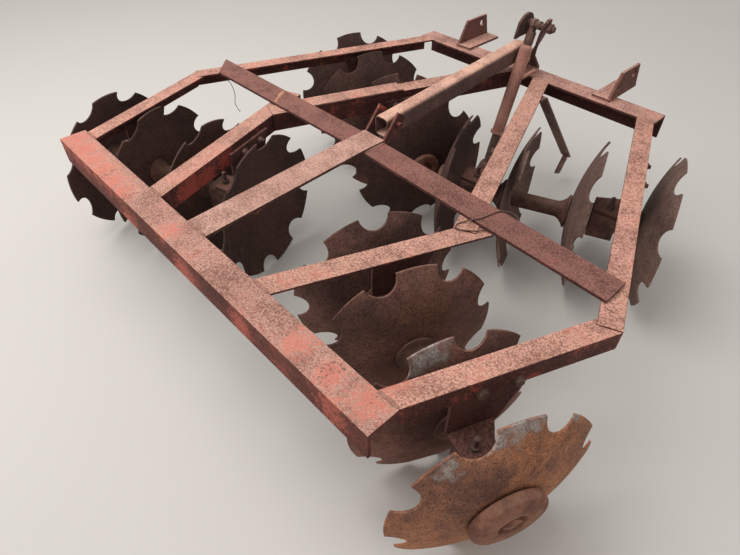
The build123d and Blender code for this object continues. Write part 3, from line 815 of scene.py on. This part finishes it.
    def build_axle(self) -> None:
        """Builds the spools, square bolt and end washers that stand for the CAD axle."""
        body = f"gang_{self.name}"
        hubs = self.hubs()
        ahead, behind = (0.0, self.blade_t) if self.rear else (self.blade_t, 0.0)
        inner, outer = hubs[0] - behind, hubs[-1] + ahead
        bar = [(inner - 3.0, self.bolt_half), (outer + 3.0, self.bolt_half)]
        spools = Skin().turned(bar, self.axle(), Section.SQUARE, 16)
        for k in range(3):
            self.spool(spools, hubs[k] + ahead, hubs[k + 1] - behind, k != 1)
        made = spools.piece(f"spools_{self.name}", Finish.SPOOL, body, "rusty_iron")
        ends = Skin()
        if self.rear:
            self.end_washer(ends, outer)
            self.cap(ends, inner, -1)
        else:
            self.bumper(ends, inner)
            self.cap(ends, outer, 1)
        ends.piece(f"end_washers_{self.name}", Finish.WASHER, body, "rusty_iron")
        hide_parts(f"gang_axle_{self.name}")

    def build_bolts(self) -> None:
        """Builds the bolts through the rails' legs and the studs through the hangers' feet."""
        skin = Skin()
        out = self.outward()
        way = 1 if self.rear else -1
        back = tuple(-c for c in out)
        head = Fastener(flats=20.0, height=8.5, washer=13.0, washer_t=1.5)
        nut = Fastener(flats=20.0, height=11.0, washer=0.0, washer_t=0.0, thread_r=6.0, stand_out=7.0)
        stud = Fastener(flats=19.0, height=10.0, washer=13.0, washer_t=1.5, thread_r=5.8, stand_out=28.0)
        for face, middle in zip(self.plates, self.bearings):
            for across in self.leg_bolts:
                at_leg = self.point(face + self.plate_t + self.leg_t, across, self.leg_bolt_z)
                at_plate = self.point(face, across, self.leg_bolt_z)
                head.build(skin, Seat(at_leg, out) if self.rear else Seat(at_plate, back))
                nut.build(skin, Seat(at_plate, back) if self.rear else Seat(at_leg, out))
            foot = self.point(middle - way * self.stud_short, -self.stud_back, self.foot_top)
            stud.build(skin, Seat(foot, (0.0, 0.0, 1.0), out))
        skin.piece(f"bolts_{self.name}", Finish.BOLT, "frame", "rusty_iron")

    def dress(self) -> None:
        """Gives the gang's CAD nodes their finishes."""
        for k, finish in enumerate(self.blades):
            coat([f"blade_{self.name}_{k + 1}"], finish)
        coat([f"gang_axle_{self.name}"], Finish.SPOOL)
        coat([f"bearing_{self.name}_inner", f"bearing_{self.name}_outer"], Finish.BEARING)
        coat([f"hanger_{self.name}_inner", f"hanger_{self.name}_outer"], Finish.HANGER)

    def build(self) -> None:
        """Builds and dresses the gang."""
        self.build_axle()
        self.build_bolts()
        self.dress()


@dataclass
class Bead:
    """One run of weld between two points of the drawing."""

    start: Point
    end: Point
    size: float = 4.2
    flat: float = 0.75
    ripple: float = 5.5
    seed: int = 1

    def build(self, skin: Skin) -> None:
        """Adds the bead: a rippled ellipse along the line, wandering and swelling by seeded smooth noise."""
        rng = np.random.default_rng(self.seed)
        a, b = spot([self.start, self.end])
        length = float(np.linalg.norm(b - a))
        steps = max(8, int(length * 1000.0 / 1.4))
        t = np.linspace(0.0, 1.0, steps)
        knots = np.linspace(0.0, 1.0, 9)
        wander = np.stack([np.interp(t, knots, rng.uniform(-0.9, 0.9, 9)) for _ in range(3)], axis=1) / 1000.0
        path = a + (b - a) * t[:, None] + wander * np.array([1.0, 1.0, 0.3])
        swell = np.interp(t, knots, rng.uniform(0.82, 1.18, 9))
        wave = 1.0 + 0.10 * np.sin(t * length * 1000.0 * tau / self.ripple)
        ends = np.clip(np.minimum(t, 1.0 - t) * steps / 3.0, 0.25, 1.0)
        up = (0.0, 0.0, 1.0) if abs(b[2] - a[2]) < 0.7 * length else (0.0, 1.0, 0.0)
        skin.swept(path, self.size / 1000.0 * swell * wave * ends, self.flat, 10, up)


@dataclass
class FrameWork:
    """The welded frame: its finishes, its welds and the wire left on it."""

    top: float = 447.0               # of the rails, in the drawing's millimetres
    lift: float = 3.0                # of the crossbar over them
    bar: float = 8.0                 # its thickness
    first_seed: int = 3              # of the welds' noise, one more for each run
    rusty_seed: int = 41
    wire_r: float = 1.6
    loose_wire_r: float = 1.1
    wire: tuple[Point, ...] = (
        (455, 572, 451), (449, 556, 451.5), (427, 536, 451.5), (406, 526, 451), (398, 540, 451.5),
        (405, 558, 453), (418, 571, 460), (429, 588, 460.5), (435, 617, 460), (443, 644, 460.5),
        (456, 657, 459.5), (472, 668, 453), (488, 664, 449), (501, 655, 444))
    loose_wire: tuple[Point, ...] = (
        (-676, 580, 459), (-675, 577, 450), (-669, 590, 425), (-671, 598, 385), (-684, 600, 345),
        (-695, 620, 302))
    lap_corner: tuple[float, float] = (-352.31, 535.67)
    lap_toe: float = 21.3
    lap_run: tuple[float, float] = (136.0, 450.0)
    lap_t: float = 6.5
    lap_w: float = 57.0

    def beads(self) -> list[Bead]:
        """The weld runs that show: between the rails and beams, round the strap's end, and at the hitch."""
        joints = [(-644, 76, -590, 76), (606, 76, 659, 76), (-252, 76, -195, 76), (217, 76, 276, 76),
                  (-60, 76, 20, 76), (-473, 1367, -421, 1367), (432, 1367, 484, 1367),
                  (-87, 1367, -29, 1367), (46, 1367, 107, 1367)]
        strap = [(-64, 666, 18, 666), (-64, 588, -64, 664), (18, 588, 18, 664), (-78, 667, -64, 667),
                 (-3, 667, 11, 667)]
        hitch = [(-31, 1442, 12, 1444), (-34, 1404, -34, 1436), (259, 1389, 321, 1389),
                 (-321, 1389, -259, 1389), (259, 1389, 259, 1442), (-259, 1389, -259, 1442),
                 (321, 1440, 321, 1392), (-321, 1440, -321, 1392)]
        rows = [(*row, z) for runs, z in ((joints, self.top), (strap, self.bar_top()), (hitch, self.top))
                for row in runs]
        return [Bead((ax, ay, z), (bx, by, z), seed=seed)
                for seed, (ax, ay, bx, by, z) in enumerate(rows, self.first_seed)]

    def bar_top(self) -> float:
        """The height of the crossbar's upper face."""
        return self.top + self.lift + self.bar

    def build_welds(self) -> None:
        """Builds the weld runs, and the rusty one laid across the crossbar."""
        skin = Skin()
        for bead in self.beads():
            bead.build(skin)
        skin.piece("frame_welds", Finish.WELD, "frame", "worn_paint")
        rusty, z = Skin(), self.bar_top()
        Bead((-400, 585, z), (-448, 655, z), size=6.0, flat=0.22, seed=self.rusty_seed).build(rusty)
        rusty.piece("crossbar_weld", Finish.WELD_RUST, "frame", "worn_paint")

    def build_wire(self) -> None:
        """Builds the rusty wire looped over the crossbar, and the thinner one that hangs at its left end."""
        for name, points, radius in (("tie_wire", self.wire, self.wire_r),
                                     ("loose_wire", self.loose_wire, self.loose_wire_r)):
            path = smooth_path(points, 12 * len(points))
            skin = Skin().swept(path, np.full(len(path), radius / 1000.0), 1.0, 8, (0.3, 0.2, 1.0))
            skin.piece(name, Finish.WIRE, "frame", "rusty_iron")

    def build_lap(self) -> None:
        """Builds the angle iron that laps the left inner rail ahead of the crossbar: a flange and a leg."""
        a = radians(self.lap_toe)
        along = np.array((sin(a), cos(a), 0.0))
        outward = np.array((-cos(a), sin(a), 0.0)) / 1000.0
        top = self.top + self.lift
        corner = np.array((*self.lap_corner, top))
        start, end = (spot(corner + along * run) - outward * self.lap_t for run in self.lap_run)
        t, up = self.lap_t, np.array((0.0, 0.0, 0.001))
        slant = tan(a) / 1000.0
        skin = Skin().bar(start, end, outward * (self.lap_w + t), up * t, 0.0012, slant * (self.lap_w + t))
        skin.bar(start - up * self.lap_w, end - up * self.lap_w, outward * t, up * (self.lap_w + t), 0.0012,
                 slant * t)
        skin.piece("inner_rail_lap", Finish.INNER, "frame", "worn_paint", 30.0)

    def dress(self) -> None:
        """Gives the frame's CAD nodes their finishes."""
        rails = [f"outer_rail_{side}_{half}" for side in ("left", "right") for half in ("rear", "front")]
        coat(rails, Finish.RAIL)
        coat([name.replace("outer", "inner") for name in rails], Finish.INNER)
        coat(["rear_beam"], Finish.REAR_BEAM)
        coat(["front_beam"], Finish.FRONT_BEAM)
        coat(["crossbar"], Finish.CROSSBAR)
        coat(["centre_strap"], Finish.STRAP)
        coat(["brace"], Finish.BRACE)
        coat(["brace_lugs"], Finish.LUG)
        coat(["mast_plate_left"], Finish.LEAF)
        coat(["mast_plate_right"], Finish.MAST)
        coat(["top_pin"], Finish.BOLT)
        coat(["hitch_bracket_left", "hitch_bracket_right"], Finish.BRACKET)
        coat(["stand_strap"], Finish.STAND)

    def build(self) -> None:
        """Builds and dresses the frame."""
        self.build_welds()
        self.build_wire()
        self.build_lap()
        self.dress()


@dataclass
class TopLink:
    """The top link: its finishes and the thread below its tube."""

    pin: Point = (-4.0, 1386.0, 610.0)
    lean: float = 16.1
    thread_from: float = 380.0
    thread_to: float = 452.0
    thread_r: float = 15.8

    def along(self, distance: float) -> Point:
        """The point so far below the pin on the link's middle line, in metres."""
        a = radians(self.lean)
        x, y, z = self.pin
        return tuple(spot((x, y - distance * sin(a), z - distance * cos(a))))

    def build(self) -> None:
        """Builds the ridged thread and dresses the link."""
        down = (0.0, -sin(radians(self.lean)), -cos(radians(self.lean)))
        turns = np.arange(0.0, self.thread_to - self.thread_from, 0.6)
        radius = self.thread_r + 0.55 * np.sin(turns * tau / 3.0)
        seat = Seat(self.along(self.thread_from), down)
        skin = Skin().turned(np.stack([turns, radius], axis=1), seat, around=24)
        skin.piece("link_thread", Finish.LINK_END, "top_link", "rusty_iron")
        coat(["top_link_tube"], Finish.LINK)
        coat(["top_link_upper_end", "top_link_lower_end"], Finish.LINK_END)


@dataclass
class Studio:
    """The floor, the light and the camera at the photograph's place."""

    camera_at: Point = (0.99719, -1.09154, 1.2678)
    yaw: float = -0.813251161
    pitch: float = 0.770320305
    roll: float = 0.00373700775
    focal: float = 544.083246        # in the picture's pixels, like its width
    width: float = 740.0
    sensor: float = 36.0
    floor_half: float = 30.0         # in metres
    floor_points: int = 5            # along each side
    sky: float = 0.60
    key: float = 96.0
    key_at: Point = (-1.1, -1.2, 3.4)
    key_size: float = 3.0
    key_aim: Point = (0.0, 0.0, 0.3)

    def build_floor(self) -> None:
        """Lays the floor: a level grid of points, not attached to any of the machine's bodies."""
        count = self.floor_points
        line = np.linspace(-self.floor_half, self.floor_half, count)
        x, y = np.meshgrid(line, line, indexing="ij")
        points = np.stack([x, y, np.zeros_like(x)], axis=-1).reshape(-1, 3)
        index = np.arange(count * count).reshape(count, count)
        corners = [index[:-1, :-1], index[1:, :-1], index[1:, 1:], index[:-1, 1:]]
        faces = np.stack(corners, axis=-1).reshape(-1, 4)
        mesh = bpy.data.meshes.new("floor")
        mesh.from_pydata(points.tolist(), [], faces.tolist())
        mesh.materials.append(Finish.FLOOR.material())
        floor = bpy.data.objects.new("floor", mesh)
        bpy.context.scene.collection.objects.link(floor)

    def build_light(self) -> None:
        """Hangs one wide soft lamp and sets the world: even light, pale where the camera sees it."""
        lamp = bpy.data.lights.new("key_lamp", "AREA")
        lamp.energy = self.key
        lamp.size = self.key_size
        hung = bpy.data.objects.new("key_lamp", lamp)
        bpy.context.scene.collection.objects.link(hung)
        hung.location = self.key_at
        beam = Vector(self.key_aim) - Vector(self.key_at)
        hung.rotation_euler = beam.to_track_quat("-Z", "Y").to_euler()
        world = bpy.data.worlds.new("studio")
        bpy.context.scene.world = world
        world.use_nodes = True
        sheet = Sheet(world.node_tree)
        rays = sheet.node("ShaderNodeLightPath", {}, {}).outputs
        seen = Value(sheet, rays["Is Camera Ray"]).over(Value(sheet, rays["Is Glossy Ray"]))
        seen = seen.over(Value(sheet, rays["Is Transmission Ray"]))
        glow = sheet.node("ShaderNodeBackground", {}, {
            "Color": (0.92, 0.91, 0.90), "Strength": seen * (1.0 - self.sky) + self.sky})
        sheet.node("ShaderNodeOutputWorld", {}, {"Surface": glow.outputs[0]})

    def build_camera(self) -> None:
        """Stands the camera where the photograph was taken from: yaw, then pitch down, then a small roll."""
        data = bpy.data.cameras.new("camera")
        data.sensor_width = self.sensor
        data.angle = 2.0 * atan(self.width / 2.0 / self.focal)
        seat = bpy.data.objects.new("camera", data)
        bpy.context.scene.collection.objects.link(seat)
        ahead = np.array((sin(self.yaw) * cos(self.pitch), cos(self.yaw) * cos(self.pitch), -sin(self.pitch)))
        right = np.array((cos(self.yaw), -sin(self.yaw), 0.0))
        up = np.cross(right, ahead)
        turned_right = cos(self.roll) * right + sin(self.roll) * up
        turned_up = -sin(self.roll) * right + cos(self.roll) * up
        turn = Matrix(np.stack([turned_right, turned_up, -ahead], axis=1).tolist()).to_4x4()
        seat.matrix_world = Matrix.Translation(Vector(self.camera_at)) @ turn
        bpy.context.scene.camera = seat

    def build(self) -> None:
        """Builds the studio."""
        self.build_camera()
        self.build_floor()
        self.build_light()
        bpy.context.scene.view_settings.view_transform = "Standard"
        LOG.info("studio is set")


def gangs() -> list[Gang]:
    """The four gangs, with the places that the source gives them."""
    dark, brown, grey = Finish.DISC_DARK, Finish.DISC_BROWN, Finish.DISC_GREY
    return [
        Gang("left_rear", -1, -19.0, (-0.573969, -0.491238), (-207.5, 202.5), (-297.0, 121.9), True,
             (dark, dark, dark, dark)),
        Gang("left_front", -1, 21.3, (-0.336949, 0.262762), (-202.5, 207.5), (-173.0, 235.8), False,
             (dark, brown, dark, dark), leg_bolts=(-52.0, 52.0)),
        Gang("right_rear", 1, -22.0, (0.576052, -0.491238), (-207.5, 202.5), (-267.0, 138.1), True,
             (brown, Finish.DISC_LIP, Finish.DISC_LIP, Finish.DISC_ORANGE)),
        Gang("right_front", 1, 22.7, (0.332002, 0.262762), (-202.5, 207.5), (-147.9, 251.3), False,
             (dark, grey, grey, grey), leg_bolts=(-52.0, 52.0)),
    ]


def main() -> None:
    """Builds the studio and every sub-assembly in order."""
    logging.basicConfig(level=logging.INFO, format="%(name)s: %(message)s", stream=sys.stdout)
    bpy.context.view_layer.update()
    Studio().build()
    FrameWork().build()
    TopLink().build()
    for gang in gangs():
        gang.build()


if __name__ == "__main__":
    main()
